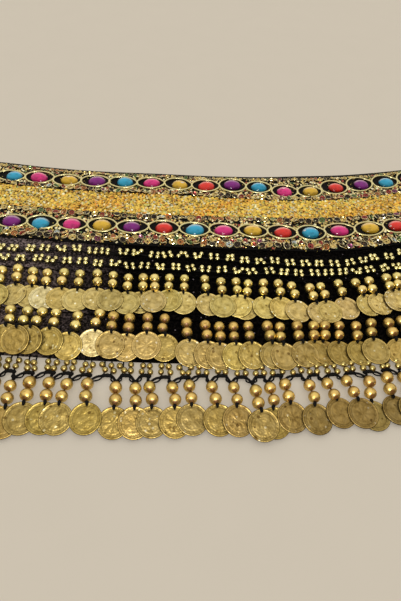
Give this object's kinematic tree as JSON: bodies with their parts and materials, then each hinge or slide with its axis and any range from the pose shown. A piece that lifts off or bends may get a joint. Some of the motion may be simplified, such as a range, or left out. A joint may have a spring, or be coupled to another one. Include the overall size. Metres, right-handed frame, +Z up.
{
  "type": "belly dance hip scarf",
  "caption": "Flat-laid belly dance hip scarf: curved black cloth band with jewelled gold trims, rows of beaded coin strands, netted hem and plain ties.",
  "frame": {"origin": "centre of the scarf's footprint, on the surface that it lies on", "axes": "+X along the band to its right end, +Y from the coin hem to the top edge, +Z up out of the surface"},
  "size_m": [1.2792, 0.3236, 0.0085],
  "materials": {
    "black_cloth": "black velvet-like cloth with a fine sparkle",
    "jewelled_trim": "gold cord ovals round glossy jewels on black, edged with cup sequins",
    "gold_sequins": "dense iridescent gold sequins",
    "black_net": "black crochet thread with small gold beads",
    "coin_gold": "antique olive gold stamped coins and polished gold beads"
  },
  "bodies": {
    "root": {"cloth_band": "black_cloth", "jewel_trim_upper": "jewelled_trim", "sequin_stripe": "gold_sequins", "jewel_trim_lower": "jewelled_trim", "net_edging": "black_net", "coin_row_upper": "coin_gold", "coin_row_lower": "coin_gold", "coin_row_hem": "coin_gold", "tie_left": "black_cloth", "tie_right": "black_cloth"}
  },
  "joints": []
}
